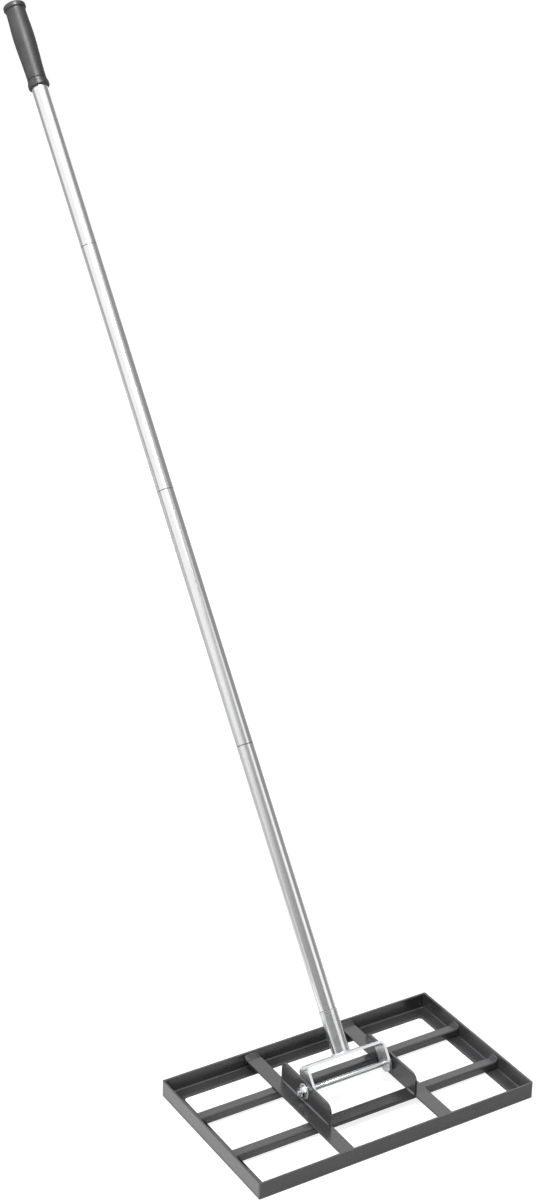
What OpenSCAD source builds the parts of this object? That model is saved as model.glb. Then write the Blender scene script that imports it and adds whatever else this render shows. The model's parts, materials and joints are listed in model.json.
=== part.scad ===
// Lawn leveling rake: a welded ground frame of angle rails, tubular cross bars and long flats,
// with a four section screw-together handle that swings on a bolt between two upright plates.
// The origin is the middle of the frame on the ground. X runs across, Y to the back, Z up.

/* [Frame rails] */
// Overall width of the frame, left to right
frame_w = 432; // [340:1:560]
// Overall depth of the frame, front to back
frame_d = 254; // [210:1:360]
// Height of the rails' upright leg
rail_h = 25; // [20:0.5:40]
// Width of the rails' flat leg
rail_flange = 21; // [14:0.5:34]
// Thickness of the rails
rail_t = 3; // [2:0.25:5]
// Fillet in the root of the angle
rail_root_r = 2; // [0.5:0.25:4]
// Rounding of the heel, the angle's outer edge on the ground
rail_heel_r = 2; // [0.4:0.2:2.8]
// Rounding of the inner edge at the tip of each leg
rail_toe_r = 1.2; // [0.3:0.1:1.8]
// Rounding of the frame's four upright corners
frame_corner_r = 2.5; // [0.5:0.25:4]

/* [Cross bars and flats] */
// Width of the cross bars, front to back
bar_w = 15; // [12:0.5:18]
// Height of the cross bars
bar_h = 12.5; // [10:0.5:16]
// Wall of the cross bars
bar_wall = 1.5; // [0.8:0.1:2]
// Outer corner radius of the cross bars
bar_corner_r = 2.5; // [2.2:0.1:4]
// Distance between the middles of the two cross bars
bar_pitch = 91; // [80:1:110]
// Width of the long flats
flat_w = 22; // [16:0.5:35]
// Thickness of the long flats and of the tie strip
flat_t = 2.5; // [2:0.25:5]
// Rounding of the flats' edges
flat_edge_r = 0.7; // [0.2:0.1:0.9]
// Width of the front tie strip, front to back
tie_w = 18.5; // [12:0.5:24]

/* [Pivot plates and bolt] */
// Thickness of the pivot plates
plate_t = 3; // [2:0.25:5]
// Height of the pivot plates
plate_h = 30; // [29:0.5:45]
// Reach of the plates in front of the pivot
plate_front = 62; // [56:1:75]
// Reach of the plates behind the pivot
plate_rear = 58; // [30:1:80]
// Radius of the plates' top corners
plate_corner_r = 12; // [4:0.5:20]
// Height of the pivot above the long flats
pivot_rise = 16; // [15:0.5:19]
// Diameter of the pivot bolt
bolt_d = 8; // [6:0.5:10]
// Width across the flats of the bolt's head and nut
hex_af = 13; // [11.5:0.5:17]
// Height of the bolt's head
head_t = 5.3; // [4:0.1:8]
// Height of the nut
nut_t = 6.5; // [4:0.1:10]
// Length of bolt that stands out of the nut
bolt_tail = 2.5; // [0.5:0.5:10]
// Outer diameter of the washer
washer_d = 22; // [16:0.5:24]
// Thickness of the washer
washer_t = 1.6; // [1:0.1:3]

/* [Yoke and socket] */
// Overall width of the yoke across its two ears
yoke_w = 125; // [90:0.5:160]
// Gap between each ear of the yoke and the pivot plate beside it
yoke_side_gap = 4; // [1:0.5:12]
// Width of the yoke's strip
yoke_strip_w = 25; // [20:0.5:28]
// Thickness of the yoke's strip
yoke_t = 3.5; // [2.5:0.25:5]
// Distance from the pivot to the outer face of the yoke's web
yoke_reach = 31; // [26:0.5:45]
// Outer radius of the yoke's two bends
yoke_bend_r = 7.5; // [5.5:0.5:12]
// Outer diameter of the socket tube
socket_d = 25; // [23:0.5:28]
// Wall of the socket tube
socket_wall = 1.2; // [0.8:0.1:2]
// Length of the socket tube
socket_len = 60; // [40:1:90]

/* [Handle] */
// Lean of the handle from upright, towards the back
lean = 37; // [0:1:60]
// Outer diameter of the handle tubes
tube_d = 24; // [22:0.5:25]
// Wall of the handle tubes
tube_wall = 0.6; // [0.5:0.1:1.2]
// Length of one handle section
section_len = 377; // [200:0.5:450]
// Rounding of the tubes' ends, which makes the fine groove at each seam
tube_edge = 0.35; // [0.1:0.05:0.4]
// Diameter of the studs that screw the sections together
stud_d = 12; // [8:0.5:14]
// Length of stud that stands out below a section
stud_len = 20; // [10:1:28]
// Length of the plug that holds a stud in its tube
plug_len = 14; // [8:1:30]
// Length of the bush that a stud screws into
insert_len = 24; // [22:1:36]

/* [Grip] */
// Length of tube that the grip covers
grip_cover = 124.5; // [90:0.5:180]
// Thickness of the grip's closed end
grip_end_t = 11; // [8:0.5:16]
// Diameter of the grip's bottom collar
grip_collar_d = 31.6; // [30:0.2:36]
// Length of the grip's bottom collar
grip_collar_len = 8; // [5:0.5:14]
// Diameter of the narrower ring on top of the collar
grip_ring_d = 29.4; // [28:0.2:33]
// Length of the ring on top of the collar
grip_ring_len = 4; // [2:0.5:8]
// Diameter of the groove between the ring and the body
grip_groove_d = 26.6; // [25.5:0.1:28]
// Width of the groove between the ring and the body
grip_groove_w = 1.6; // [1:0.1:4]
// Diameter of the grip's body at its lower end
grip_neck_d = 28.2; // [27:0.2:31]
// Diameter of the grip's body at its fullest place
grip_belly_d = 32.2; // [31:0.2:38]
// How far up the body its fullest place is, as a share of the body's length
grip_belly_at = 0.62; // [0.3:0.01:0.8]
// Diameter of the grip's body just below its top lip
grip_waist_d = 29.6; // [28:0.2:34]
// Diameter of the grip's top lip
grip_lip_d = 33.6; // [31:0.2:38]
// Length of the grip's top lip
grip_lip_len = 9.5; // [8:0.5:18]
// Rounding of the grip's top end
grip_round_r = 4; // [1:0.5:5]
// Rounding of the lower edge of the lip and of the collar
grip_rim_r = 2.5; // [1:0.5:3]

/* [Hidden] */

$fn = 64;
section_count = 4;

// How far a cut runs past the solid that it cuts
overrun = 1;
// Root gap left at the ends of the welded bars
weld_gap = 0.2;
// Radial gap between the bolt and the yoke's ears, a running fit
pivot_clear = 0.08;
// Radial gap between the bolt and the plates, washer and nut
bolt_clear = 0.1;
// Radial gap between a plug or bush and its tube, and between the grip and its tube
plug_clear = 0.05;
// Radial gap between a stud and its bush, where the thread is
thread_clear = 0.1;
// Chamfer on the corners of the bolt's head and nut
hex_chamfer = 0.8;
// Chamfer on the bolt's end and on the studs' ends
end_chamfer = 1;
// Rounding of the small edges beside the grip's groove
grip_edge_r = 0.8;

bar_y = bar_pitch / 2;
flat_bottom = rail_t + bar_h;
flat_top = flat_bottom + flat_t;
flat_gap = yoke_w + 2 * yoke_side_gap;
flat_x = flat_gap / 2;
inner_d = frame_d - 2 * rail_t;
inner_w = frame_w - 2 * rail_t;
plate_x = flat_x;
plate_outer_x = plate_x + plate_t;
pivot_z = flat_top + pivot_rise;
washer_outer_x = plate_outer_x + washer_t;
nut_outer_x = washer_outer_x + nut_t;
bolt_end_x = nut_outer_x + bolt_tail;
bore_d = bolt_d + 2 * bolt_clear;
socket_top = yoke_reach + socket_len;
tube_bore_d = tube_d - 2 * tube_wall;
socket_bore_d = socket_d - 2 * socket_wall;
grip_bottom = section_start(section_count + 1) - grip_cover;
grip_len = grip_cover + grip_end_t;
grip_bore_d = tube_d + 2 * plug_clear;

// Steps in each eased stretch of the grip's outline
ease_steps = 10;

// Where a handle section starts, measured along the handle from the pivot
function section_start(i) = socket_top + (i - 1) * section_len;

// A smooth step from 0 to 1
function eased(t) = (1 - cos(180 * t)) / 2;

// Points of a smooth sweep of the grip's radius from one place to the next
function swell(d0, z0, d1, z1) = [
  for (k = [1 : ease_steps])
    let (t = k / ease_steps)
      [(d0 + (d1 - d0) * eased(t)) / 2, z0 + (z1 - z0) * t]
];

// Points of a quarter circle of radius r about a centre, from one angle to another
function quarter(cx, cz, r, from, to) = [
  for (k = [0 : ease_steps])
    let (a = from + (to - from) * k / ease_steps)
      [cx + r * cos(a), cz + r * sin(a)]
];

// The waste outside a rounded corner, with the corner at the origin and the stock in +X +Y
module corner_waste(r) {
  difference() {
    translate([-overrun, -overrun])
      square([r + overrun, r + overrun]);
    translate([r, r])
      circle(r);
  }
}

// A rectangle with rounded corners, centred in X, standing on Y = 0
module rounded_bar(w, h, r) {
  translate([-w / 2 + r, 0])
    square([w - 2 * r, h]);
  translate([-w / 2, r])
    square([w, h - 2 * r]);
  for (x = [-w / 2 + r, w / 2 - r])
    for (y = [r, h - r])
      translate([x, y])
        circle(r);
}

// Runs a section along X: its own X points to +Y and its own Y points up
module along_x(length) {
  rotate([90, 0, 90])
    linear_extrude(height = length, center = true)
      children();
}

// Runs a section along Y: its own X points to +X and its own Y points up
module along_y(length) {
  rotate([90, 0, 0])
    linear_extrude(height = length, center = true)
      children();
}

// The angle's section with sharp outer edges
module angle_blank() {
  square([rail_t, rail_h]);
  square([rail_flange, rail_t]);
  difference() {
    square([rail_t + rail_root_r, rail_t + rail_root_r]);
    translate([rail_t + rail_root_r, rail_t + rail_root_r])
      circle(rail_root_r);
  }
}

// The finished angle's section, with a round heel and round toes
module angle_section() {
  difference() {
    angle_blank();
    corner_waste(rail_heel_r);
    translate([rail_t, rail_h])
      rotate(180)
        corner_waste(rail_toe_r);
    translate([rail_flange, rail_t])
      rotate(180)
        corner_waste(rail_toe_r);
  }
}

// One rail along X with its outer face on Y = 0, mitred at both ends to meet the next rails
module rail(length) {
  color("#2b2c2e")
    intersection() {
      along_x(length)
        angle_section();
      translate([0, 0, -overrun])
        linear_extrude(height = rail_h + 2 * overrun)
          difference() {
            polygon([
              [-length / 2, 0],
              [length / 2, 0],
              [length / 2 - rail_flange, rail_flange],
              [-length / 2 + rail_flange, rail_flange]
            ]);
            for (side = [0, 1])
              mirror([side, 0])
                translate([-length / 2, 0])
                  corner_waste(frame_corner_r);
          }
    }
}

module front_rail() {
  translate([0, -frame_d / 2, 0])
    rail(frame_w);
}

module back_rail() {
  translate([0, frame_d / 2, 0])
    rotate([0, 0, 180])
      rail(frame_w);
}

module left_rail() {
  translate([-frame_w / 2, 0, 0])
    rotate([0, 0, -90])
      rail(frame_d);
}

module right_rail() {
  translate([frame_w / 2, 0, 0])
    rotate([0, 0, 90])
      rail(frame_d);
}

// A tube that lies on the side rails' flat legs, notched at its ends to clear their root fillets
module cross_bar() {
  notch = rail_root_r + weld_gap;
  color("#343537")
    difference() {
      translate([0, 0, rail_t])
        along_x(inner_w - 2 * weld_gap)
          difference() {
            rounded_bar(bar_w, bar_h, bar_corner_r);
            translate([0, bar_wall])
              rounded_bar(bar_w - 2 * bar_wall, bar_h - 2 * bar_wall, bar_corner_r - bar_wall);
          }
      for (side = [0, 1])
        mirror([side, 0, 0])
          translate([inner_w / 2 - notch, -bar_w / 2 - overrun, rail_t - overrun])
            cube([notch + overrun, bar_w + 2 * overrun, notch + overrun]);
    }
}

module front_cross_bar() {
  translate([0, -bar_y, 0])
    cross_bar();
}

module rear_cross_bar() {
  translate([0, bar_y, 0])
    cross_bar();
}

// A flat from the front rail to the back rail, lying on the cross bars
module long_bar() {
  color("#3a3b3d")
    translate([flat_x + flat_w / 2, 0, flat_bottom])
      along_y(inner_d - 2 * weld_gap)
        rounded_bar(flat_w, flat_t, flat_edge_r);
}

module left_long_bar() {
  mirror([1, 0, 0])
    long_bar();
}

module right_long_bar() {
  long_bar();
}

// A short flat on the front cross bar, flush with the front ends of the pivot plates
module front_tie_strip() {
  color("#2a2b2d")
    translate([0, -plate_front + tie_w / 2, flat_bottom])
      along_x(flat_gap - 2 * weld_gap)
        rounded_bar(tie_w, flat_t, flat_edge_r);
}

// An upright plate on the inner edge of the right long flat, with the bolt's hole
module pivot_plate() {
  color("#26272a")
    translate([plate_x + plate_t / 2, 0, flat_top])
      along_x(plate_t)
        difference() {
          translate([-plate_front, 0])
            square([plate_front + plate_rear, plate_h]);
          translate([-plate_front, plate_h])
            rotate(-90)
              corner_waste(plate_corner_r);
          translate([plate_rear, plate_h])
            rotate(180)
              corner_waste(plate_corner_r);
          translate([0, pivot_rise])
            circle(d = bore_d);
        }
}

module left_pivot_plate() {
  mirror([1, 0, 0])
    pivot_plate();
}

module right_pivot_plate() {
  pivot_plate();
}

// Stands its children on the pivot axis, with their own Z pointing to +X
module on_pivot(x) {
  translate([x, 0, pivot_z])
    rotate([0, 90, 0])
      children();
}

// A hexagon with its corners turned off at the top
module hex(af, h) {
  across_corners = af / cos(30);
  intersection() {
    cylinder(d = across_corners, h = h, $fn = 6);
    union() {
      cylinder(d = across_corners + overrun, h = h - hex_chamfer);
      translate([0, 0, h - hex_chamfer])
        cylinder(d1 = across_corners, d2 = across_corners - 4 * hex_chamfer, h = hex_chamfer);
    }
  }
}

// A round pin with a chamfered far end
module pin(d, h) {
  cylinder(d = d, h = h - end_chamfer);
  translate([0, 0, h - end_chamfer])
    cylinder(d1 = d, d2 = d - 2 * end_chamfer, h = end_chamfer);
}

module pivot_bolt() {
  color("#c9cacb") {
    on_pivot(plate_outer_x)
      hex(hex_af, head_t);
    on_pivot(plate_outer_x)
      mirror([0, 0, 1])
        pin(bolt_d, plate_outer_x + bolt_end_x);
  }
}

module nut_washer() {
  color("#d4d5d6")
    on_pivot(-washer_outer_x)
      difference() {
        cylinder(d = washer_d, h = washer_t);
        translate([0, 0, -overrun])
          cylinder(d = bore_d, h = washer_t + 2 * overrun);
      }
}

module pivot_nut() {
  color("#cfd0d1")
    on_pivot(-washer_outer_x)
      mirror([0, 0, 1])
        difference() {
          hex(hex_af, nut_t);
          translate([0, 0, -overrun])
            cylinder(d = bore_d, h = nut_t + 2 * overrun);
        }
}

// Stands its children on the pivot, with their own Z along the leaning handle
module on_handle(s) {
  translate([0, 0, pivot_z])
    rotate([-lean, 0, 0])
      translate([0, 0, s])
        children();
}

// The outline of a U that is open below: a flat top with two bends
module arch(w, bottom, top, r) {
  translate([-w / 2, bottom])
    square([w, top - r - bottom]);
  translate([-w / 2 + r, bottom])
    square([w - 2 * r, top - bottom]);
  for (x = [-w / 2 + r, w / 2 - r])
    translate([x, top - r])
      circle(r);
}

// A strip bent to a U, with round ears that turn on the bolt
module yoke() {
  ear_r = yoke_strip_w / 2;
  color("#d3d5d7")
    on_handle(0)
      difference() {
        intersection() {
          along_y(yoke_strip_w)
            difference() {
              arch(yoke_w, -ear_r, yoke_reach, yoke_bend_r);
              arch(yoke_w - 2 * yoke_t, -ear_r - overrun, yoke_reach - yoke_t, yoke_bend_r - yoke_t);
            }
          union() {
            rotate([0, 90, 0])
              cylinder(r = ear_r, h = yoke_w + 2 * overrun, center = true);
            translate([-yoke_w / 2 - overrun, -ear_r, 0])
              cube([yoke_w + 2 * overrun, yoke_strip_w, yoke_reach + overrun]);
          }
        }
        rotate([0, 90, 0])
          cylinder(d = bolt_d + 2 * pivot_clear, h = yoke_w + 2 * overrun, center = true);
      }
}

// A tube along Z with its outer edges turned in at both ends
module round_tube(d, bore, length) {
  rotate_extrude()
    polygon([
      [bore / 2, 0],
      [d / 2 - tube_edge, 0],
      [d / 2, tube_edge],
      [d / 2, length - tube_edge],
      [d / 2 - tube_edge, length],
      [bore / 2, length]
    ]);
}

module socket_tube() {
  color("#bfc1c3")
    on_handle(yoke_reach)
      round_tube(socket_d, socket_bore_d, socket_len);
}

// A threaded bush, flush with the upper end of the tube that holds it
module bush(tube_bore) {
  color("#9a9c9e")
    translate([0, 0, -insert_len])
      difference() {
        cylinder(d = tube_bore - 2 * plug_clear, h = insert_len);
        translate([0, 0, -overrun])
          cylinder(d = stud_d + 2 * thread_clear, h = insert_len + 2 * overrun);
      }
}

module socket_insert() {
  on_handle(socket_top)
    bush(socket_bore_d);
}

module joint_insert(i) {
  on_handle(section_start(i + 1))
    bush(tube_bore_d);
}

// A plug flush with the lower end of a section, with the stud that stands out below it
module joint_stud(i) {
  color("#8f9194")
    on_handle(section_start(i)) {
      cylinder(d = tube_bore_d - 2 * plug_clear, h = plug_len);
      mirror([0, 0, 1])
        pin(stud_d, stud_len);
    }
}

module handle_section(i) {
  color("#d9dbdd")
    on_handle(section_start(i))
      round_tube(tube_d, tube_bore_d, section_len);
}

// A closed rubber sleeve: collar, ring, groove, swelling body and round lip, turned in one sweep
module grip() {
  collar_r = grip_collar_d / 2;
  ring_r = grip_ring_d / 2;
  neck_r = grip_neck_d / 2;
  lip_r = grip_lip_d / 2;
  ring_top = grip_collar_len + grip_ring_len;
  neck_z = ring_top + grip_groove_w;
  lip_z = grip_len - grip_lip_len;
  belly_z = neck_z + (lip_z - neck_z) * grip_belly_at;
  color("#3b3c3e")
    on_handle(grip_bottom)
      rotate_extrude()
        polygon(concat(
          [[grip_bore_d / 2, 0]],
          quarter(collar_r - grip_rim_r, grip_rim_r, grip_rim_r, -90, 0),
          quarter(collar_r - grip_edge_r, grip_collar_len - grip_edge_r, grip_edge_r, 0, 90),
          [[ring_r, grip_collar_len]],
          quarter(ring_r - grip_edge_r, ring_top - grip_edge_r, grip_edge_r, 0, 90),
          [[grip_groove_d / 2, ring_top], [grip_groove_d / 2, neck_z]],
          quarter(neck_r - grip_edge_r, neck_z + grip_edge_r, grip_edge_r, -90, 0),
          swell(grip_neck_d, neck_z + grip_edge_r, grip_belly_d, belly_z),
          swell(grip_belly_d, belly_z, grip_waist_d, lip_z),
          quarter(lip_r - grip_rim_r, lip_z + grip_rim_r, grip_rim_r, -90, 0),
          quarter(lip_r - grip_round_r, grip_len - grip_round_r, grip_round_r, 0, 90),
          [[0, grip_len], [0, grip_cover], [grip_bore_d / 2, grip_cover]]
        ));
}

front_rail();
back_rail();
left_rail();
right_rail();
front_cross_bar();
rear_cross_bar();
left_long_bar();
right_long_bar();
front_tie_strip();
left_pivot_plate();
right_pivot_plate();
pivot_bolt();
nut_washer();
pivot_nut();
yoke();
socket_tube();
socket_insert();
handle_section(1);  // handle_section_1
handle_section(2);  // handle_section_2
handle_section(3);  // handle_section_3
handle_section(4);  // handle_section_4
joint_stud(1);  // joint_stud_1
joint_stud(2);  // joint_stud_2
joint_stud(3);  // joint_stud_3
joint_stud(4);  // joint_stud_4
joint_insert(1);  // joint_insert_1
joint_insert(2);  // joint_insert_2
joint_insert(3);  // joint_insert_3
grip();
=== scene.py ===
"""Looks of a lawn leveling rake, dressed on its fixed frame: paint, welds, zinc, bright tube and rubber."""

import json
import math

import bmesh
import bpy
from bpy.props import FloatProperty, FloatVectorProperty, IntProperty, PointerProperty
from mathutils import Matrix, Vector


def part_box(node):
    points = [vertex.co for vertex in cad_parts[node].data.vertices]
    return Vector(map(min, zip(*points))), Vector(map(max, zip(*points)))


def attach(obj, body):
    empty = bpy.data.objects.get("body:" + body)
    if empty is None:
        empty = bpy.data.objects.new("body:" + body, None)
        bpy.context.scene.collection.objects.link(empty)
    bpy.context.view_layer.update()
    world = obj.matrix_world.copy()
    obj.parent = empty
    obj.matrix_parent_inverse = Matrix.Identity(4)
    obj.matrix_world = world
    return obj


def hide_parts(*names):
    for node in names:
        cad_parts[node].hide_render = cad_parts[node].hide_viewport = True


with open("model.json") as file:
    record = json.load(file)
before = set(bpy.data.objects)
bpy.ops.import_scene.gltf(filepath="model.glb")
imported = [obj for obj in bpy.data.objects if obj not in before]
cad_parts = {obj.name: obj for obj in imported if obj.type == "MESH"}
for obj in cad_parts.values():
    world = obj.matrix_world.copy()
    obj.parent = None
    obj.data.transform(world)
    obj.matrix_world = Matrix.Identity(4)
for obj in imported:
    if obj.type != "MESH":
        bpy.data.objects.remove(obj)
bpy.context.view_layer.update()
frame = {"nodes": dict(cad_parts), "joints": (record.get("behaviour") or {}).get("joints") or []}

bl_info = {
    "name": "Lawn Rake Looks",
    "version": (1, 0, 0),
    "blender": (4, 5, 0),
    "location": "View3D > Sidebar > Rake",
    "description": "Dresses a lawn leveling rake with its paint, welds, zinc, bright tube and rubber grip",
    "category": "Object",
}

GROUND_BODY = "ground_frame"
HANDLE_BODY = "handle"
RAILS = ("front_rail", "back_rail", "left_rail", "right_rail")
CROSS_BARS = ("front_cross_bar", "rear_cross_bar")
LONG_BARS = ("left_long_bar", "right_long_bar")
PIVOT_PLATES = ("left_pivot_plate", "right_pivot_plate")
SECTIONS = tuple(f"handle_section_{i}" for i in (1, 2, 3, 4))
INNER_JOINTS = (
    *(f"joint_stud_{i}" for i in (1, 2, 3, 4)),
    *(f"joint_insert_{i}" for i in (1, 2, 3)),
    "socket_insert",
)

PIVOT = Vector(frame["joints"][0]["pos_m"])
FULL_TURN = 2 * math.pi
MM = 0.001
SHARP_ANGLE = math.radians(35)
MERGE_DISTANCE = 1e-6

# Welds. Shares are of a run's cross section, its length or a fillet's legs.
WALL = 3 * MM
RUN_INSET = 1 * MM
ROUND_END = 0.4
FLAT_END = 0.85
RUN_DIP = 0.97
TAPER_SHARE = 0.25
LEAST_STEPS = 8
BEAD_SIDES = 8
FILLET_STEPS = 12
ROOT_BACK_SHARE = 0.04
ROOT_DOWN_SHARE = 0.06
TOE_SHARE = 0.95
SPOT_RISE = 2 * WALL
MITRE_INSET = 0.1 * MM
SOCKET_BEAD = 1.8 * MM

# Pivot bolt and washer. The tooth's flat is given as shares of the thread's pitch.
BOLT_D = 8 * MM
HEX_AF = 13 * MM
HEX_TURN = math.radians(30)
HEX_BEVEL = 0.9 * MM
BOLT_TIP = 0.8 * MM
TOOTH_FLAT = (0.35, 0.65)
THREAD_STEPS = 24
THREAD_SINK = 0.1 * MM
THREAD_SLACK = 0.05 * MM
WASHER_SLACK = 0.2 * MM
WASHER_RIM = 0.7 * MM

# Finishes. Tones are shares of a finish's own colour.
# The beads at the plates' feet and along the fillets' toes take a paler copy of the coat: painted highlight
# lines.
BEAD_HIGHLIGHT_TONE = 3.0
# The tie strip takes a darker copy of the same coat: painted shade for the darker reflection on its top.
TIE_SHADE_TONE = 0.7
TIE_SHEEN = 0.5
SWELL_SCALE = 0.125
SEAM_CORE = 0.4 * MM
SEAM_EDGE = 1.0 * MM
SEAM_TONE = 0.45
GRIP_BODY_LENGTH = 113 * MM

# Places of the colour sockets on a Mix node.
MIX_FIRST = 6
MIX_SECOND = 7
MIX_RESULT = 2

# Camera, lamps and floor.
PHOTO_SIZE = (536, 1200)
SENSOR_MM = 36.0
CLIP_START = 0.05
CLIP_END = 200.0
WHITE = (1, 1, 1, 1)
STAGE_AIM = Vector((0, 0.35, 0.5))
LAMP_DISTANCE = 4.5
SOFTBOXES = {
    "key_softbox": {"azimuth": -88, "elevation": 34, "size": 3.2, "power": 320, "mirrored": False},
    "top_softbox": {"azimuth": -28, "elevation": 69, "size": 1.6, "power": 225, "mirrored": True},
}
FLOOR_HALF = 60
FLOOR_DROP = 0.2 * MM
FLOOR_PALE = (0.34, 0.34, 0.34, 1)
FLOOR_SOFT = (0.3, 0.3, 0.3, 1)
FLOOR_MIRROR_SHARE = 0.3
GLOW_START = 0.5
GLOW_FULL = 5.0

# Cards that only reflections see: a tone and corners as azimuth and elevation in degrees, far off,
# or a tone and spans in X and Y just above the floor.
FLAG_DISTANCE = 25.0
FLAGS = {
    "front_flag": (0.3, (
        (-110, -15), (-60, -8), (-8, 5), (6, 30), (6, 51), (-14, 48),
        (-36, 39), (-55, 28), (-70, 17), (-86, 4), (-105, -8),
    )),
    "upper_flag": (0.47, ((6, 41), (48, 41), (48, 53), (6, 53))),
    "left_flag": (0.5, ((-172, -6), (-112, -6), (-104, 5), (-140, 9))),
    "right_flag": (0.3, ((48, -5), (118, -5), (118, 46), (48, 46))),
    "back_card": (1.4, ((119, 20), (147, 20), (147, 52), (119, 52))),
}
FLOOR_CARDS = {
    "left_floor_card": (0.55, (-2.5, -0.28), (0.25, 2.5)),
    "right_floor_card": (0.55, (0.1, 2.5), (0.25, 2.5)),
    "left_rail_card": (1.45, (-0.3, -0.218), (-0.2, 0.24)),
}


def box_centre(node):
    """Middle of a node's box, which on a straight tube is the middle of the tube."""
    low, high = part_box(node)
    return (low + high) / 2


HANDLE_AXIS = (box_centre(SECTIONS[-1]) - box_centre(SECTIONS[0])).normalized()
HANDLE_LEAN = math.atan2(HANDLE_AXIS.y, HANDLE_AXIS.z)
SECTION_LENGTH = (box_centre(SECTIONS[1]) - box_centre(SECTIONS[0])).length
HANDLE_FOOT = (box_centre(SECTIONS[0]) - PIVOT).length - SECTION_LENGTH / 2


class RakeFinish(bpy.types.PropertyGroup):
    """Colours and gloss of the rake's finishes."""

    paint_color: FloatVectorProperty(
        name="Paint", description="Black powder coat of the ground frame",
        subtype="COLOR", size=3, min=0, max=1, default=(0.023, 0.023, 0.024),
    )
    paint_roughness: FloatProperty(
        name="Paint roughness", description="Roughness of the powder coat",
        subtype="FACTOR", min=0, max=1, default=0.27,
    )
    zinc_color: FloatVectorProperty(
        name="Zinc", description="Bright zinc plating of the yoke and the pivot bolt",
        subtype="COLOR", size=3, min=0, max=1, default=(0.66, 0.67, 0.68),
    )
    galvanised_color: FloatVectorProperty(
        name="Galvanising", description="Galvanised socket tube",
        subtype="COLOR", size=3, min=0, max=1, default=(0.80, 0.805, 0.81),
    )
    tube_color: FloatVectorProperty(
        name="Bright tube", description="Polished tube of the handle sections",
        subtype="COLOR", size=3, min=0, max=1, default=(0.90, 0.903, 0.905),
    )
    tube_roughness: FloatProperty(
        name="Tube roughness", description="Roughness of the polished tube",
        subtype="FACTOR", min=0, max=1, default=0.18,
    )
    rubber_color: FloatVectorProperty(
        name="Rubber", description="Dark rubber of the grip",
        subtype="COLOR", size=3, min=0, max=1, default=(0.026, 0.026, 0.027),
    )


class RakeDetail(bpy.types.PropertyGroup):
    """Sizes of the details that are dressed on the frame."""

    weld_radius: FloatProperty(
        name="Weld radius", description="Radius of the frame's weld beads",
        unit="LENGTH", min=0.0003, max=0.004, default=0.0016,
    )
    weld_ripple: FloatProperty(
        name="Weld ripple", description="Distance from one ripple of a weld bead to the next",
        unit="LENGTH", min=0.0005, max=0.005, default=0.0016,
    )
    fillet_reach: FloatProperty(
        name="Fillet reach", description="How far a fillet weld runs out along its bar",
        unit="LENGTH", min=0.001, max=0.015, default=0.007,
    )
    fillet_height: FloatProperty(
        name="Fillet height", description="How far a fillet weld climbs up the rail's wall",
        unit="LENGTH", min=0.001, max=0.008, default=0.004,
    )
    toe_radius: FloatProperty(
        name="Toe radius", description="Radius of the thin bead at the top of a fillet weld",
        unit="LENGTH", min=0.0002, max=0.002, default=0.0009,
    )
    spot_radius: FloatProperty(
        name="Spot radius", description="Radius of the round weld spots",
        unit="LENGTH", min=0.0005, max=0.004, default=0.0014,
    )
    mitre_fill: FloatProperty(
        name="Mitre fill", description="Length of the weld fill in the inner corners of the rails",
        unit="LENGTH", min=0.001, max=0.01, default=0.003,
    )
    thread_pitch: FloatProperty(
        name="Thread pitch", description="Pitch of the pivot bolt's thread",
        unit="LENGTH", min=0.0005, max=0.003, default=0.00125,
    )
    thread_depth: FloatProperty(
        name="Thread depth", description="Depth of the pivot bolt's thread",
        unit="LENGTH", min=0.0002, max=0.002, default=0.0005,
    )
    thread_length: FloatProperty(
        name="Thread length", description="Length of the pivot bolt's thread from its end",
        unit="LENGTH", min=0.01, max=0.12, default=0.043,
    )
    turn_steps: IntProperty(
        name="Turn steps", description="Steps round a turned piece",
        min=16, max=128, default=64,
    )


class RakeStage(bpy.types.PropertyGroup):
    """Where the camera stands and how the studio is lit."""

    camera_azimuth: FloatProperty(
        name="Azimuth", description="Camera's turn about the upright, 0 looks to the back",
        subtype="ANGLE", default=math.radians(-31.759),
    )
    camera_elevation: FloatProperty(
        name="Elevation", description="Camera's height above the horizon",
        subtype="ANGLE", default=math.radians(22.729),
    )
    camera_roll: FloatProperty(
        name="Roll", description="Camera's turn about its own axis",
        subtype="ANGLE", default=math.radians(1.091),
    )
    camera_distance: FloatProperty(
        name="Distance", description="Camera's distance from its target",
        unit="LENGTH", min=0.5, max=50, default=4.5191,
    )
    camera_target: FloatVectorProperty(
        name="Target", description="Point on the ground that the camera aims at",
        subtype="XYZ", unit="LENGTH", size=3, default=(0.8099, 1.5366, 0.0),
    )
    camera_focal: FloatProperty(
        name="Focal length", description="Camera's focal length, in pixels of the photograph's frame",
        min=200, max=9000, default=2160.6,
    )
    ambient: FloatProperty(
        name="Ambient", description="Strength of the light that comes from all round",
        min=0, max=4, default=0.13,
    )
    floor_glow: FloatProperty(
        name="Floor glow", description="Share of white that the pale floor shows by itself",
        subtype="FACTOR", min=0, max=1, default=0.84,
    )


def settings(group):
    """The scene's settings of one group."""
    return getattr(bpy.context.scene, group)


def mesh_object(name, bm, material):
    """Makes an object of a bmesh and links it to the scene."""
    mesh = bpy.data.meshes.new(name)
    bm.to_mesh(mesh)
    bm.free()
    mesh.materials.append(material)
    made = bpy.data.objects.new(name, mesh)
    bpy.context.scene.collection.objects.link(made)
    return made


def finish_piece(name, bm, body, material):
    """Makes a piece of a bmesh, smooth where it is round, and puts it on its body."""
    piece = mesh_object(name, bm, material)
    piece.data.shade_smooth()
    piece.data.set_sharp_from_angle(angle=SHARP_ANGLE)
    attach(piece, body)
    return piece


def coat(nodes, material):
    """Gives CAD nodes one material."""
    for node in nodes:
        mesh = frame["nodes"][node].data
        mesh.materials.clear()
        mesh.materials.append(material)


def feed(tree, socket, value):
    """Links a socket to another one, or sets its value."""
    if isinstance(value, bpy.types.NodeSocket):
        tree.links.new(value, socket)
    else:
        socket.default_value = value


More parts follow.
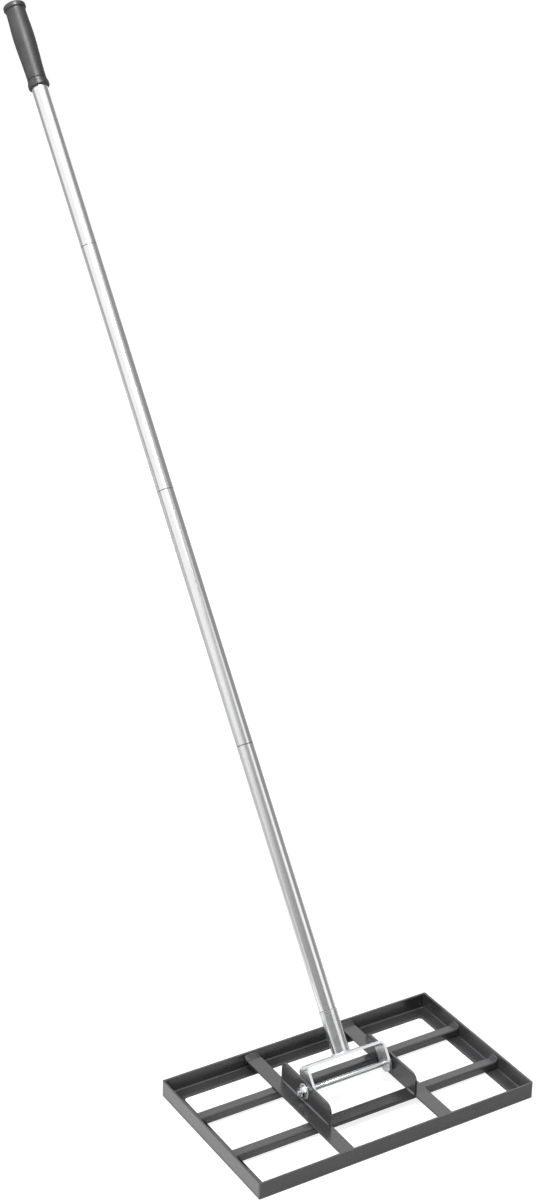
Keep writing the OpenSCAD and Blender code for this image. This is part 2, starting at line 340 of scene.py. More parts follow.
def shader_node(tree, kind, **inputs):
    """Adds a node and feeds its named inputs."""
    node = tree.nodes.new(kind)
    for name, value in inputs.items():
        feed(tree, node.inputs[name.replace("_", " ")], value)
    return node


def group_node(tree, group, **inputs):
    """Places a node group in a tree and feeds its inputs."""
    node = tree.nodes.new("ShaderNodeGroup")
    node.node_tree = group
    for name, value in inputs.items():
        feed(tree, node.inputs[name], value)
    return node


def math_value(tree, operation, *values):
    """Result of a Math node on sockets and numbers."""
    node = tree.nodes.new("ShaderNodeMath")
    node.operation = operation
    for socket, value in zip(node.inputs, values):
        feed(tree, socket, value)
    return node.outputs["Value"]


def mixed_color(tree, factor, first, second, blend="MIX"):
    """Mixes two colours by a factor, or blends them in another way."""
    node = tree.nodes.new("ShaderNodeMix")
    node.data_type = "RGBA"
    node.blend_type = blend
    feed(tree, node.inputs["Factor"], factor)
    feed(tree, node.inputs[MIX_FIRST], first)
    feed(tree, node.inputs[MIX_SECOND], second)
    return node.outputs[MIX_RESULT]


def new_group(name, sockets_in, sockets_out):
    """Starts a shader node group with named sockets and returns it with its two end nodes."""
    group = bpy.data.node_groups.new(name, "ShaderNodeTree")
    for label, kind, value in sockets_in:
        socket = group.interface.new_socket(label, in_out="INPUT", socket_type=kind)
        if value is not None:
            socket.default_value = value
    for label, kind in sockets_out:
        group.interface.new_socket(label, in_out="OUTPUT", socket_type=kind)
    return group, group.nodes.new("NodeGroupInput"), group.nodes.new("NodeGroupOutput")


def tone_drift_group():
    """Slow drift between two tones over a surface, as handling and plating leave it."""
    found = bpy.data.node_groups.get("tone_drift")
    if found:
        return found
    group, start, end = new_group(
        "tone_drift",
        [
            ("Vector", "NodeSocketVector", None),
            ("Scale", "NodeSocketFloat", 20.0),
            ("Low", "NodeSocketColor", (0.4, 0.4, 0.4, 1)),
            ("High", "NodeSocketColor", (0.6, 0.6, 0.6, 1)),
        ],
        [("Color", "NodeSocketColor"), ("Mask", "NodeSocketFloat")],
    )
    noise = shader_node(
        group, "ShaderNodeTexNoise",
        Vector=start.outputs["Vector"], Scale=start.outputs["Scale"], Detail=5.0, Roughness=0.6,
    )
    spread = shader_node(
        group, "ShaderNodeMapRange", Value=noise.outputs["Fac"], From_Min=0.3, From_Max=0.7
    )
    mask = spread.outputs["Result"]
    color = mixed_color(group, mask, start.outputs["Low"], start.outputs["High"])
    group.links.new(color, end.inputs["Color"])
    group.links.new(mask, end.inputs["Mask"])
    return group


def fine_grain_group():
    """Fine relief of a coated or moulded surface: a close grain with a few larger swellings."""
    found = bpy.data.node_groups.get("fine_grain")
    if found:
        return found
    group, start, end = new_group(
        "fine_grain",
        [
            ("Vector", "NodeSocketVector", None),
            ("Scale", "NodeSocketFloat", 900.0),
            ("Swell", "NodeSocketFloat", 0.4),
        ],
        [("Height", "NodeSocketFloat")],
    )
    grain = shader_node(
        group, "ShaderNodeTexNoise",
        Vector=start.outputs["Vector"], Scale=start.outputs["Scale"], Detail=3.0,
    )
    coarse = math_value(group, "MULTIPLY", start.outputs["Scale"], SWELL_SCALE)
    swell = shader_node(
        group, "ShaderNodeTexNoise", Vector=start.outputs["Vector"], Scale=coarse, Detail=2.0
    )
    height = math_value(
        group, "MULTIPLY_ADD", swell.outputs["Fac"], start.outputs["Swell"], grain.outputs["Fac"]
    )
    group.links.new(height, end.inputs["Height"])
    return group


def drawn_lines_group():
    """Fine lines along Z, as drawing and polishing leave them on a tube or a rod."""
    found = bpy.data.node_groups.get("drawn_lines")
    if found:
        return found
    group, start, end = new_group(
        "drawn_lines",
        [
            ("Vector", "NodeSocketVector", None),
            ("Across", "NodeSocketFloat", 900.0),
            ("Along", "NodeSocketFloat", 6.0),
        ],
        [("Mask", "NodeSocketFloat")],
    )
    stretch = shader_node(
        group, "ShaderNodeCombineXYZ",
        X=start.outputs["Across"], Y=start.outputs["Across"], Z=start.outputs["Along"],
    )
    scaled = group.nodes.new("ShaderNodeVectorMath")
    scaled.operation = "MULTIPLY"
    group.links.new(start.outputs["Vector"], scaled.inputs[0])
    group.links.new(stretch.outputs["Vector"], scaled.inputs[1])
    noise = shader_node(
        group, "ShaderNodeTexNoise", Vector=scaled.outputs["Vector"], Scale=1.0, Detail=3.0
    )
    group.links.new(noise.outputs["Fac"], end.inputs["Mask"])
    return group


def new_material(name):
    """Starts a material and returns it with its tree, its Principled shader and Object coordinates."""
    material = bpy.data.materials.new(name)
    material.use_nodes = True
    tree = material.node_tree
    shader = tree.nodes["Principled BSDF"]
    place = tree.nodes.new("ShaderNodeTexCoord")
    return material, tree, shader, place.outputs["Object"]


def spread_value(tree, mask, start, end):
    """A value that runs from start to end as a mask runs from 0 to 1."""
    node = shader_node(tree, "ShaderNodeMapRange", Value=mask, To_Min=start, To_Max=end)
    return node.outputs["Result"]


def relief(tree, shader, height, strength, distance):
    """Feeds a height to the shader's normal through a bump."""
    bump = shader_node(
        tree, "ShaderNodeBump", Strength=strength, Distance=distance, Height=height
    )
    tree.links.new(bump.outputs["Normal"], shader.inputs["Normal"])


def on_handle_frame(tree, vector):
    """Object coordinates turned so that Z runs along the handle from the pivot."""
    mapping = shader_node(tree, "ShaderNodeMapping", Vector=vector)
    turn = Matrix.Rotation(HANDLE_LEAN, 4, "X")
    mapping.inputs["Rotation"].default_value = (HANDLE_LEAN, 0, 0)
    mapping.inputs["Location"].default_value = -(turn @ PIVOT)
    return mapping.outputs["Vector"]


def shade(color, share):
    """A colour times a share, as four numbers."""
    return tuple(c * share for c in color) + (1.0,)


def drifting_tone(tree, place, color, scale, low, high):
    """Places a drift of tone that runs from a low to a high share of a colour."""
    return group_node(
        tree, tone_drift_group(), Vector=place, Scale=scale, Low=shade(color, low), High=shade(color, high)
    )


def link_roughness(tree, shader, mask, start, end):
    """Lets the roughness run from start to end as a mask runs from 0 to 1."""
    tree.links.new(spread_value(tree, mask, start, end), shader.inputs["Roughness"])


def grain_relief(tree, shader, place, scale, swell, strength, distance):
    """Raises a fine grain on the surface."""
    grain = group_node(tree, fine_grain_group(), Vector=place, Scale=scale, Swell=swell)
    relief(tree, shader, grain.outputs["Height"], strength, distance)


def paint_material(name, tone=1.0, sheen=1.0):
    """Satin black powder coat: a fine orange-peel grain and a slow drift of tone and gloss. A tone above 1
    gives a paler copy for painted highlights, and a tone below 1 a darker copy for painted shade.
    """
    finish = settings("rake_finish")
    material, tree, shader, place = new_material(name)
    shader.inputs["Specular IOR Level"].default_value = sheen
    drift = drifting_tone(tree, place, finish.paint_color, scale=14.0, low=0.85 * tone, high=1.2 * tone)
    tree.links.new(drift.outputs["Color"], shader.inputs["Base Color"])
    rough = finish.paint_roughness
    link_roughness(tree, shader, drift.outputs["Mask"], start=rough - 0.05, end=rough + 0.07)
    grain_relief(tree, shader, place, scale=900.0, swell=0.6, strength=0.03, distance=0.3 * MM)
    return material


def zinc_material(name, rough, tone=1.0, metallic=1.0):
    """Zinc plating: cloudy gloss and a faint grain. A lower metallic lets it take more of the soft light."""
    finish = settings("rake_finish")
    material, tree, shader, place = new_material(name)
    shader.inputs["Metallic"].default_value = metallic
    drift = drifting_tone(tree, place, finish.zinc_color, scale=55.0, low=0.9 * tone, high=1.06 * tone)
    tree.links.new(drift.outputs["Color"], shader.inputs["Base Color"])
    link_roughness(tree, shader, drift.outputs["Mask"], start=rough + 0.08, end=rough - 0.05)
    grain_relief(tree, shader, place, scale=300.0, swell=0.8, strength=0.015, distance=0.3 * MM)
    return material


def galvanised_material(name):
    """Galvanised tube: flat crystals of slightly different greys and gloss, with a faint grain."""
    finish = settings("rake_finish")
    material, tree, shader, place = new_material(name)
    shader.inputs["Metallic"].default_value = 1.0
    place = on_handle_frame(tree, place)
    spangle = shader_node(tree, "ShaderNodeTexVoronoi", Vector=place, Scale=170.0)
    cell = shader_node(tree, "ShaderNodeSeparateColor", Color=spangle.outputs["Color"])
    drift = drifting_tone(tree, place, finish.galvanised_color, scale=90.0, low=0.9, high=1.1)
    tone = spread_value(tree, cell.outputs["Red"], start=0.94, end=1.0)
    grey = shader_node(tree, "ShaderNodeCombineColor", Red=tone, Green=tone, Blue=tone)
    mottle = mixed_color(tree, 1.0, drift.outputs["Color"], grey.outputs["Color"], blend="MULTIPLY")
    tree.links.new(mottle, shader.inputs["Base Color"])
    link_roughness(tree, shader, cell.outputs["Green"], start=0.17, end=0.23)
    grain_relief(tree, shader, place, scale=300.0, swell=1.0, strength=0.02, distance=0.4 * MM)
    return material


def along_handle(tree, place):
    """Distance from the pivot along the handle, from coordinates in the handle's frame."""
    return shader_node(tree, "ShaderNodeSeparateXYZ", Vector=place).outputs["Z"]


def seam_mask(tree, place):
    """1 where two sections of the handle meet and 0 a little way off."""
    above_foot = math_value(tree, "SUBTRACT", along_handle(tree, place), HANDLE_FOOT)
    reach = math_value(tree, "PINGPONG", above_foot, SECTION_LENGTH / 2)
    line = shader_node(
        tree, "ShaderNodeMapRange", Value=reach,
        From_Min=SEAM_CORE, From_Max=SEAM_EDGE, To_Min=1.0, To_Max=0.0,
    )
    return line.outputs["Result"]


def tube_material(name):
    """Polished bright tube: fine lines along the handle, a faint cloud in the gloss and dark seams."""
    finish = settings("rake_finish")
    material, tree, shader, place = new_material(name)
    shader.inputs["Metallic"].default_value = 1.0
    place = on_handle_frame(tree, place)
    lines = group_node(tree, drawn_lines_group(), Vector=place, Across=700.0, Along=5.0)
    drift = drifting_tone(tree, place, finish.tube_color, scale=16.0, low=0.95, high=1.02)
    dark = shade(finish.tube_color, SEAM_TONE)
    color = mixed_color(tree, seam_mask(tree, place), drift.outputs["Color"], dark)
    tree.links.new(color, shader.inputs["Base Color"])
    rough = finish.tube_roughness
    link_roughness(tree, shader, lines.outputs["Mask"], start=rough - 0.06, end=rough + 0.06)
    relief(tree, shader, lines.outputs["Mask"], strength=0.02, distance=0.2 * MM)
    return material


def end_mask(tree, place):
    """1 on the grip's lip and collar and 0 on the body between them."""
    middle = (box_centre("grip") - PIVOT).length
    offset = math_value(tree, "SUBTRACT", along_handle(tree, place), middle)
    return math_value(tree, "GREATER_THAN", math_value(tree, "ABSOLUTE", offset), GRIP_BODY_LENGTH / 2)


def rubber_material(name):
    """Moulded rubber: a fine matt grain, a little lighter in patches, with glossier ends."""
    finish = settings("rake_finish")
    material, tree, shader, place = new_material(name)
    place = on_handle_frame(tree, place)
    drift = drifting_tone(tree, place, finish.rubber_color, scale=60.0, low=0.8, high=1.25)
    tree.links.new(drift.outputs["Color"], shader.inputs["Base Color"])
    body = spread_value(tree, drift.outputs["Mask"], start=0.42, end=0.54)
    ends = spread_value(tree, drift.outputs["Mask"], start=0.32, end=0.4)
    rough = shader_node(tree, "ShaderNodeMix", Factor=end_mask(tree, place), A=body, B=ends)
    tree.links.new(rough.outputs["Result"], shader.inputs["Roughness"])
    grain_relief(tree, shader, place, scale=1800.0, swell=0.3, strength=0.16, distance=0.4 * MM)
    return material


def turned_mesh(profile, origin, axis, steps):
    """Turns a profile of (radius, height) points a full turn about an axis."""
    bm = bmesh.new()
    verts = [bm.verts.new((radius, 0, height)) for radius, height in profile]
    edges = [bm.edges.new(pair) for pair in zip(verts, verts[1:])]
    bmesh.ops.spin(
        bm, geom=verts + edges, cent=(0, 0, 0), axis=(0, 0, 1), angle=FULL_TURN, steps=steps,
        use_merge=True,
    )
    bmesh.ops.remove_doubles(bm, verts=bm.verts, dist=MERGE_DISTANCE)
    bmesh.ops.recalc_face_normals(bm, faces=bm.faces)
    turn = axis.to_track_quat("Z", "Y").to_matrix().to_4x4()
    bmesh.ops.transform(bm, matrix=Matrix.Translation(origin) @ turn, verts=bm.verts)
    return bm


def arc(centre_r, centre_h, radius, start, end, count=6):
    """Points of an arc in a profile, with angles in degrees from the outward direction."""
    angles = [math.radians(start + (end - start) * k / count) for k in range(count + 1)]
    return [(centre_r + radius * math.cos(a), centre_h + radius * math.sin(a)) for a in angles]


def add_run(bm, start, end, ring, end_size, ripple):
    """Adds one closed rope of weld from start to end. The ring is its cross section, seen from its root."""
    run = end - start
    steps = max(LEAST_STEPS, 2 * round(run.length / ripple))
    size = end_size
    verts = [bm.verts.new(start + offset * size) for offset in ring]
    bmesh.ops.contextual_create(bm, geom=verts)
    edges = list({e for v in verts for e in v.link_edges})
    for k in range(1, steps + 1):
        out = bmesh.ops.extrude_edge_only(bm, edges=edges)["geom"]
        verts = [g for g in out if isinstance(g, bmesh.types.BMVert)]
        fresh = set(verts)
        edges = [g for g in out if isinstance(g, bmesh.types.BMEdge) and fresh.issuperset(g.verts)]
        swell = min(1.0, min(k, steps - k) / (TAPER_SHARE * steps))
        wanted = end_size + (1 - end_size) * math.sin(swell * math.pi / 2)
        wanted *= 1.0 if k % 2 else RUN_DIP
        here = start + run * (k / steps)
        bmesh.ops.translate(bm, vec=run / steps, verts=verts)
        bmesh.ops.scale(
            bm, vec=(wanted / size,) * 3, space=Matrix.Translation(-here), verts=verts
        )
        size = wanted
    bmesh.ops.contextual_create(bm, geom=edges)


def bead_ring(run, radius):
    """Round cross section of a bead that lies in a corner."""
    turn = run.to_track_quat("Z", "Y")
    angles = [FULL_TURN * k / BEAD_SIDES for k in range(BEAD_SIDES)]
    return [turn @ Vector((math.cos(a), math.sin(a), 0)) * radius for a in angles]


def bead_runs(ends, radius):
    """Runs of a round bead between pairs of points."""
    return [(a, b, bead_ring(b - a, radius), ROUND_END) for a, b in ends]


def fillet_ring(out, rise, legs):
    """Hollow cross section of a fillet weld, with one leg out along a bar and one up its wall."""
    reach, height = legs
    root = out * (-ROOT_BACK_SHARE * reach) + rise * (-ROOT_DOWN_SHARE * height)
    angles = [math.pi / 2 * k / FILLET_STEPS for k in range(FILLET_STEPS + 1)]
    curve = [out * reach * (1 - math.sin(a)) + rise * height * (1 - math.cos(a)) for a in angles]
    return [root, *curve]


def inner_walls():
    """X of the right rail's inner wall and Y of the back rail's. The left and front ones mirror them."""
    return -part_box("left_rail")[0].x - WALL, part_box("back_rail")[1].y - WALL


def corner_runs(detail):
    """Weld beads in the rails' upright corners."""
    wall_x, wall_y = inner_walls()
    low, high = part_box("left_rail")
    ends = []
    for x in (-wall_x, wall_x):
        for y in (-wall_y, wall_y):
            ends.append((Vector((x, y, low.z + WALL)), Vector((x, y, high.z - WALL / 2))))
    return bead_runs(ends, detail.weld_radius)


def foot_runs(detail):
    """Weld beads at the feet of the pivot plates and at the ends of the tie strip."""
    inset = Vector((0, RUN_INSET, 0))
    ends = []
    for plate in PIVOT_PLATES:
        low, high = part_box(plate)
        outer = low.x if low.x < 0 else high.x
        ends.append((Vector((outer, low.y, low.z)) + inset, Vector((outer, high.y, low.z)) - inset))
    low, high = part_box("front_tie_strip")
    for x in (low.x, high.x):
        ends.append((Vector((x, low.y, high.z)) + inset, Vector((x, high.y, high.z)) - inset))
    return bead_runs(ends, detail.weld_radius)


def bar_seats():
    """Ends and outward direction of each line where a cross bar or a long bar meets a rail's wall."""
    wall_x, wall_y = inner_walls()
    seats = []
    for bar in CROSS_BARS:
        low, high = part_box(bar)
        for side in (-1, 1):
            ends = [Vector((side * wall_x, y, high.z)) for y in (high.y, low.y)]
            seats.append((*ends, Vector((-side, 0, 0))))
    for bar in LONG_BARS:
        low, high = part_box(bar)
        for side in (-1, 1):
            ends = [Vector((x, side * wall_y, high.z)) for x in (low.x, high.x)]
            seats.append((*ends, Vector((0, -side, 0))))
    return seats


def bar_runs(detail):
    """Fillet welds where the cross bars and the long bars meet the rails' walls."""
    legs = (detail.fillet_reach, detail.fillet_height)
    up = Vector((0, 0, 1))
    return [(a, b, fillet_ring(out, up, legs), FLAT_END) for a, b, out in bar_seats()]


def toe_runs(detail):
    """Thin beads along the tops of the fillet welds."""
    toe = Vector((0, 0, detail.fillet_height * TOE_SHARE))
    ends = []
    for a, b, _ in bar_seats():
        inset = (b - a).normalized() * RUN_INSET
        ends.append((a + toe + inset, b + toe - inset))
    return bead_runs(ends, detail.toe_radius)


def spot_runs(detail):
    """Round weld spots in the inner corners of the rails and at one end of each cross bar's fillet."""
    wall_x, wall_y = inner_walls()
    places = [Vector((x, y, SPOT_RISE)) for x in (-wall_x, wall_x) for y in (-wall_y, wall_y)]
    for bar in CROSS_BARS:
        low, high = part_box(bar)
        top = high.z + detail.fillet_height
        places += [Vector((x, low.y + RUN_INSET, top)) for x in (-wall_x, wall_x)]
    half = Vector((0, detail.spot_radius, 0))
    return bead_runs([(p - half, p + half) for p in places], detail.spot_radius)


def mitre_runs(detail):
    """Short weld runs that fill the inner corners of the rails' flat legs."""
    inner_x = -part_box("left_rail")[1].x
    inner_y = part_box("back_rail")[0].y
    ends = []
    for side_x in (-1, 1):
        for side_y in (-1, 1):
            corner = Vector((side_x * inner_x, side_y * inner_y, WALL / 2))
            across = Vector((side_x * detail.mitre_fill, 0, 0))
            along = Vector((0, side_y * detail.mitre_fill, 0))
            ends.append((corner - across, corner - along))
    return bead_runs(ends, WALL / 2 - MITRE_INSET)


def add_thread(bm, radius, depth, pitch, start, length):
    """Winds a thread with flat sides round the Z axis as one rising rope with closed ends."""
    turns = int(length / pitch) - 1
    root = radius - depth - THREAD_SINK
    flat_start, flat_end = TOOTH_FLAT
    tooth = ((root, 0), (radius, pitch * flat_start), (radius, pitch * flat_end), (root, pitch))
    verts = [bm.verts.new((r, 0, start + z)) for r, z in tooth]
    edges = [bm.edges.new(pair) for pair in zip(verts, verts[1:] + verts[:1])]
    wound = bmesh.ops.spin(
        bm, geom=verts + edges, cent=(0, 0, 0), axis=(0, 0, 1), dvec=(0, 0, pitch / THREAD_STEPS),
        angle=FULL_TURN * turns, steps=THREAD_STEPS * turns, use_merge=False,
    )
    bmesh.ops.contextual_create(bm, geom=verts)
    bmesh.ops.contextual_create(
        bm, geom=[g for g in wound["geom_last"] if isinstance(g, bmesh.types.BMVert)]
    )


def washer_mesh(detail):
    """Stamped washer with a rounded rim, round the pivot."""
    low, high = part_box("nut_washer")
    outer = (high.y - low.y) / 2
    thick = high.x - low.x
    inner = BOLT_D / 2 + WASHER_SLACK
    rim = outer - WASHER_RIM
    profile = [(inner, 0)]
    profile += arc(rim, WASHER_RIM, WASHER_RIM, -90, 0)
    profile += arc(rim, thick - WASHER_RIM, WASHER_RIM, 0, 90)
    profile += [(inner, thick), (inner, 0)]
    seat = Vector((low.x, PIVOT.y, PIVOT.z))
    return turned_mesh(profile, seat, Vector((1, 0, 0)), detail.turn_steps)


def bolt_mesh(detail):
    """Hex head bolt with a plain shank, a thread and a chamfered end, along X with its head to the right."""
    low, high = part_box("pivot_bolt")
    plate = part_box("right_pivot_plate")[1].x
    head = high.x - plate
    length = plate - low.x
    radius = BOLT_D / 2
    core = radius - detail.thread_depth
    plain = length - detail.thread_length
    profile = [
        (0, 0), (radius, 0), (radius, plain - BOLT_TIP), (core, plain), (core, length - BOLT_TIP),
        (core - BOLT_TIP, length), (0, length),
    ]
    bm = turned_mesh(profile, Vector((0, 0, 0)), Vector((0, 0, 1)), detail.turn_steps)
    across = HEX_AF / math.sqrt(3)
    hexagon = bmesh.ops.create_cone(
        bm, cap_ends=True, segments=6, radius1=across, radius2=across, depth=head,
        matrix=Matrix.Translation((0, 0, -head / 2)) @ Matrix.Rotation(HEX_TURN, 4, "Z"),
    )["verts"]
    rim = [v for v in hexagon if v.co.z < -head / 2]
    outer = {e for v in rim for e in v.link_edges if e.other_vert(v) in rim}
    bmesh.ops.bevel(
        bm, geom=list(outer), offset=HEX_BEVEL, offset_type="OFFSET", affect="EDGES", segments=2,
        profile=0.5, material=-1,
    )
    add_thread(
        bm, radius - THREAD_SLACK, detail.thread_depth, detail.thread_pitch, plain,
        detail.thread_length - BOLT_TIP,
    )
    bmesh.ops.recalc_face_normals(bm, faces=bm.faces)
    turn = Vector((-1, 0, 0)).to_track_quat("Z", "Y").to_matrix().to_4x4()
    seat = Matrix.Translation((plate, PIVOT.y, PIVOT.z)) @ turn
    bmesh.ops.transform(bm, matrix=seat, verts=bm.verts)
    return bm


class RAKE_OT_paint_frame(bpy.types.Operator):
    """Coats the rails, bars and plates with black powder coat"""

    bl_idname = "rake.paint_frame"
    bl_label = "Paint Frame"

    def execute(self, context):
        coat(RAILS + CROSS_BARS + LONG_BARS + PIVOT_PLATES, paint_material("frame_paint"))
        # A darker copy of the frame paint on the tie strip, as painted shade.
        coat(("front_tie_strip",), paint_material("tie_shaded_paint", TIE_SHADE_TONE, TIE_SHEEN))
        return {"FINISHED"}


class RAKE_OT_weld_frame(bpy.types.Operator):
    """Lays the weld beads of the ground frame"""

    bl_idname = "rake.weld_frame"
    bl_label = "Weld Frame"

    def execute(self, context):
        detail = settings("rake_detail")
        dark_runs = (corner_runs, bar_runs, spot_runs, mitre_runs)
        # These runs are coated with a paler copy of the frame paint, a painted highlight along each bead.
        highlight_runs = (foot_runs, toe_runs)
        groups = {
            "frame_welds": (dark_runs, bpy.data.materials["frame_paint"]),
            "bead_welds_painted_highlight": (highlight_runs, paint_material("bead_highlight_paint", BEAD_HIGHLIGHT_TONE)),
        }
        for name, (kinds, paint) in groups.items():
            bm = bmesh.new()
            for runs in kinds:
                for run in runs(detail):
                    add_run(bm, *run, detail.weld_ripple)
            bmesh.ops.recalc_face_normals(bm, faces=bm.faces)
            finish_piece(name, bm, GROUND_BODY, paint)
        return {"FINISHED"}


class RAKE_OT_dress_pivot(bpy.types.Operator):
    """Builds the pivot bolt with its thread and the washer with its rounded rim, and plates the nut"""

    bl_idname = "rake.dress_pivot"
    bl_label = "Dress Pivot"

    def execute(self, context):
        detail = settings("rake_detail")
        zinc = zinc_material("bolt_zinc", rough=0.2)
        coat(("pivot_nut",), zinc)
        dull = zinc_material("washer_zinc", rough=0.26, tone=1.25, metallic=0.9)
        washer = finish_piece("stamped_washer", washer_mesh(detail), GROUND_BODY, dull)
        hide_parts("nut_washer")
        bolt = finish_piece("threaded_bolt", bolt_mesh(detail), GROUND_BODY, zinc)
        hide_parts("pivot_bolt")
        return {"FINISHED"}


class RAKE_OT_dress_yoke(bpy.types.Operator):
    """Plates the yoke and welds the socket tube to it"""

    bl_idname = "rake.dress_yoke"
    bl_label = "Dress Yoke"

    def execute(self, context):
        detail = settings("rake_detail")
        zinc = zinc_material("yoke_zinc", rough=0.24, tone=1.22, metallic=0.88)
        coat(("yoke",), zinc)
        coat(("socket_tube",), galvanised_material("socket_galvanised"))
        low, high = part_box("socket_tube")
        radius = (high.x - low.x) / 2
        inner = radius - SOCKET_BEAD
        middle = box_centre("socket_tube")
        mouth = PIVOT + HANDLE_AXIS * HANDLE_FOOT
        foot = middle - (mouth - middle)
        profile = arc(radius, 0, SOCKET_BEAD, 90, 0)
        profile += [(inner, 0), (inner, SOCKET_BEAD), (radius, SOCKET_BEAD)]
        bm = turned_mesh(profile, foot, HANDLE_AXIS, detail.turn_steps)
        finish_piece("socket_weld", bm, HANDLE_BODY, zinc)
        return {"FINISHED"}


class RAKE_OT_dress_handle(bpy.types.Operator):
    """Polishes the four handle sections and finishes the studs and bushes inside them"""

    bl_idname = "rake.dress_handle"
    bl_label = "Dress Handle"

    def execute(self, context):
        coat(SECTIONS, tube_material("bright_tube"))
        coat(INNER_JOINTS, zinc_material("insert_alloy", rough=0.35))
        return {"FINISHED"}


class RAKE_OT_dress_grip(bpy.types.Operator):
    """Coats the grip at the end of the handle with rubber"""

    bl_idname = "rake.dress_grip"
    bl_label = "Dress Grip"

    def execute(self, context):
        coat(("grip",), rubber_material("grip_rubber"))
        return {"FINISHED"}


def view_axes(azimuth, elevation, roll=0.0):
    """Right, up and back of a viewer who looks at the object from an azimuth and an elevation."""
    back = Vector((
        math.sin(azimuth) * math.cos(elevation),
        -math.cos(azimuth) * math.cos(elevation),
        math.sin(elevation),
    ))
    right = Vector((math.cos(azimuth), math.sin(azimuth), 0))
    up = back.cross(right)
    turned = right * math.cos(roll) + up * math.sin(roll)
    return turned, back.cross(turned), back


def placed(origin, axes):
    """Matrix of something at a point, with its own X, Y and Z along three axes."""
    matrix = Matrix(axes).transposed().to_4x4()
    matrix.translation = origin
    return matrix


def add_camera(stage):
    """Camera at the photograph's viewing angle."""
    data = bpy.data.cameras.new("camera")
    data.sensor_width = SENSOR_MM
    data.lens = stage.camera_focal / max(PHOTO_SIZE) * SENSOR_MM
    data.clip_start = CLIP_START
    data.clip_end = CLIP_END
    camera = bpy.data.objects.new("camera", data)
    bpy.context.scene.collection.objects.link(camera)
    axes = view_axes(stage.camera_azimuth, stage.camera_elevation, stage.camera_roll)
    camera.matrix_world = placed(Vector(stage.camera_target) + axes[2] * stage.camera_distance, axes)
    bpy.context.scene.camera = camera


def seen_directly(tree, glossy_share=1.0):
    """1 for a ray from the camera or a see-through surface, a share for a reflection, 0 for other light."""
    path = tree.nodes.new("ShaderNodeLightPath")
    total = path.outputs["Is Camera Ray"]
    for name, share in (("Is Glossy Ray", glossy_share), ("Is Transmission Ray", 1.0)):
        part = math_value(tree, "MULTIPLY", path.outputs[name], share)
        total = math_value(tree, "MAXIMUM", total, part)
    return total


def bare_material(name):
    """Starts a material without a shader and returns it with its tree and its Surface socket."""
    material = bpy.data.materials.new(name)
    material.use_nodes = True
    tree = material.node_tree
    tree.nodes.clear()
    return material, tree, tree.nodes.new("ShaderNodeOutputMaterial").inputs["Surface"]


def add_world(stage):
    """White all round for what is seen, and a plain even light for what is lit."""
    world = bpy.data.worlds.new("studio")
    world.use_nodes = True
    bpy.context.scene.world = world
    tree = world.node_tree
    background = tree.nodes["Background"]
    background.inputs["Color"].default_value = WHITE
    strength = spread_value(tree, seen_directly(tree), stage.ambient, 1.0)
    tree.links.new(strength, background.inputs["Strength"])


def add_floor(stage):
    """Pale floor that keeps a soft shadow and goes to white in the distance."""
    material, tree, surface = bare_material("pale_floor")
    pale = shader_node(tree, "ShaderNodeBsdfDiffuse", Color=FLOOR_PALE)
    soft = shader_node(tree, "ShaderNodeBsdfDiffuse", Color=FLOOR_SOFT)
    place = tree.nodes.new("ShaderNodeTexCoord")
    reach = tree.nodes.new("ShaderNodeVectorMath")
    reach.operation = "LENGTH"
    tree.links.new(place.outputs["Object"], reach.inputs[0])
    level = shader_node(
        tree, "ShaderNodeMapRange", Value=reach.outputs["Value"],
        From_Min=GLOW_START, From_Max=GLOW_FULL, To_Min=stage.floor_glow, To_Max=1.0,
    )
    glow = shader_node(tree, "ShaderNodeEmission", Color=WHITE, Strength=level.outputs["Result"])
    shown = tree.nodes.new("ShaderNodeAddShader")
    tree.links.new(soft.outputs["BSDF"], shown.inputs[0])
    tree.links.new(glow.outputs["Emission"], shown.inputs[1])
    pick = tree.nodes.new("ShaderNodeMixShader")
    tree.links.new(seen_directly(tree, FLOOR_MIRROR_SHARE), pick.inputs["Fac"])
    tree.links.new(pale.outputs["BSDF"], pick.inputs[1])
    tree.links.new(shown.outputs["Shader"], pick.inputs[2])
    tree.links.new(pick.outputs["Shader"], surface)
    bm = bmesh.new()
    bmesh.ops.create_grid(bm, x_segments=1, y_segments=1, size=FLOOR_HALF)
    bmesh.ops.translate(bm, vec=(0, 0, -FLOOR_DROP), verts=bm.verts)
    floor = mesh_object("floor", bm, material)


def add_softbox(name, azimuth, elevation, size, power, mirrored):
    """A square lamp that faces the object. One that isn't mirrored lights it but shows in no reflection."""
    data = bpy.data.lights.new(name, "AREA")
    data.shape = "SQUARE"
    data.size = size
    data.energy = power
    lamp = bpy.data.objects.new(name, data)
    bpy.context.scene.collection.objects.link(lamp)
    axes = view_axes(math.radians(azimuth), math.radians(elevation))
    lamp.visible_glossy = mirrored
    lamp.matrix_world = placed(STAGE_AIM + axes[2] * LAMP_DISTANCE, axes)


def far_corners(directions):
    """Points far off in directions that are given as azimuth and elevation in degrees."""
    return [STAGE_AIM + FLAG_DISTANCE * view_axes(*map(math.radians, d))[2] for d in directions]


def floor_corners(across, along):
    """Corners of a card that lies just above the floor, from its spans in X and Y."""
    left, right = across
    near, far = along
    return [Vector((x, y, MM)) for x, y in ((left, near), (right, near), (right, far), (left, far))]


def add_flag(name, corners, tone):
    """A card that only reflections see, for the bands on the tube and the tones of the paint."""
    material, tree, surface = bare_material(name)
    glow = shader_node(tree, "ShaderNodeEmission", Color=WHITE, Strength=tone)
    tree.links.new(glow.outputs["Emission"], surface)
    bm = bmesh.new()
    bmesh.ops.contextual_create(bm, geom=[bm.verts.new(corner) for corner in corners])
    card = mesh_object(name, bm, material)
    for ray in ("camera", "diffuse", "transmission", "volume_scatter", "shadow"):
        setattr(card, f"visible_{ray}", False)


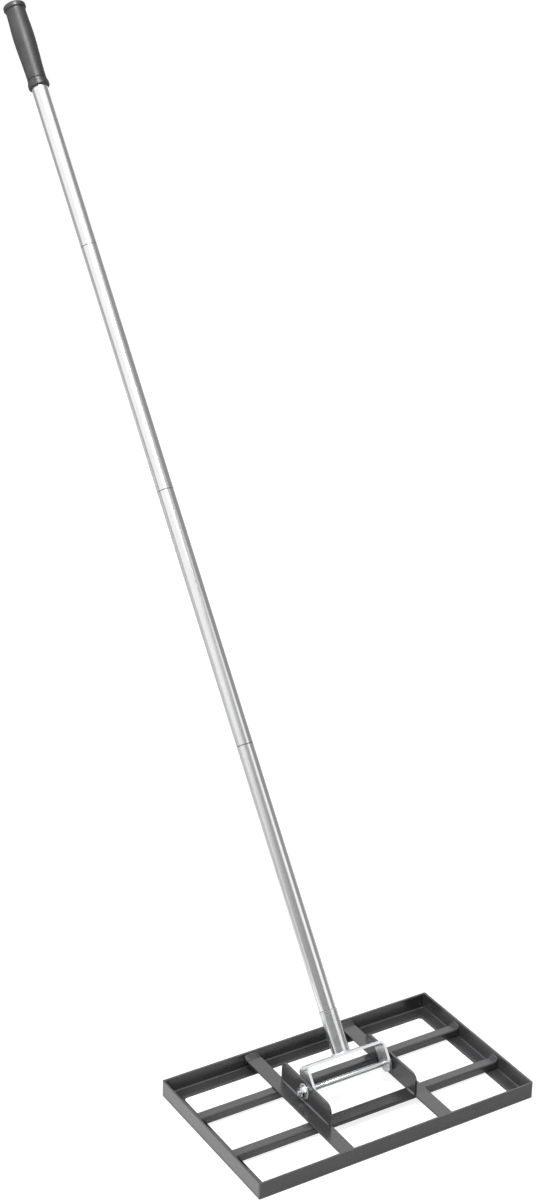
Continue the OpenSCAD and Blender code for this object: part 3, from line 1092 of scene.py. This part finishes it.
class RAKE_OT_set_stage(bpy.types.Operator):
    """Sets the floor, the studio light and the camera"""

    bl_idname = "rake.set_stage"
    bl_label = "Set Stage"

    def execute(self, context):
        stage = settings("rake_stage")
        add_world(stage)
        add_floor(stage)
        add_camera(stage)
        for name, lamp in SOFTBOXES.items():
            add_softbox(name, **lamp)
        for name, (tone, directions) in FLAGS.items():
            add_flag(name, far_corners(directions), tone)
        for name, (tone, across, along) in FLOOR_CARDS.items():
            add_flag(name, floor_corners(across, along), tone)
        context.scene.view_settings.view_transform = "Standard"
        return {"FINISHED"}


class RAKE_PT_panel(bpy.types.Panel):
    """Lists the rake's settings and its dressing steps in the sidebar"""

    bl_label = "Lawn Rake"
    bl_idname = "RAKE_PT_panel"
    bl_space_type = "VIEW_3D"
    bl_region_type = "UI"
    bl_category = "Rake"

    def draw(self, context):
        for group in GROUPS:
            part = self.layout.box()
            for name in getattr(context.scene, group).bl_rna.properties.keys():
                if name not in ("rna_type", "name"):
                    part.prop(getattr(context.scene, group), name)
        for operator in OPERATORS:
            self.layout.operator(operator.bl_idname)


GROUPS = {"rake_finish": RakeFinish, "rake_detail": RakeDetail, "rake_stage": RakeStage}
OPERATORS = (
    RAKE_OT_paint_frame,
    RAKE_OT_weld_frame,
    RAKE_OT_dress_pivot,
    RAKE_OT_dress_yoke,
    RAKE_OT_dress_handle,
    RAKE_OT_dress_grip,
    RAKE_OT_set_stage,
)
CLASSES = (*GROUPS.values(), *OPERATORS, RAKE_PT_panel)


def register():
    """Registers the classes and adds the settings to the scene."""
    for cls in CLASSES:
        bpy.utils.register_class(cls)
    for name, cls in GROUPS.items():
        setattr(bpy.types.Scene, name, PointerProperty(type=cls))


def unregister():
    """Takes the settings and the classes out again."""
    for name in GROUPS:
        delattr(bpy.types.Scene, name)
    for cls in reversed(CLASSES):
        bpy.utils.unregister_class(cls)


def main():
    """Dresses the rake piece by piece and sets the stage."""
    register()
    bpy.ops.rake.paint_frame()
    bpy.ops.rake.weld_frame()
    bpy.ops.rake.dress_pivot()
    bpy.ops.rake.dress_yoke()
    bpy.ops.rake.dress_handle()
    bpy.ops.rake.dress_grip()
    bpy.ops.rake.set_stage()


if __name__ == "__main__":
    main()
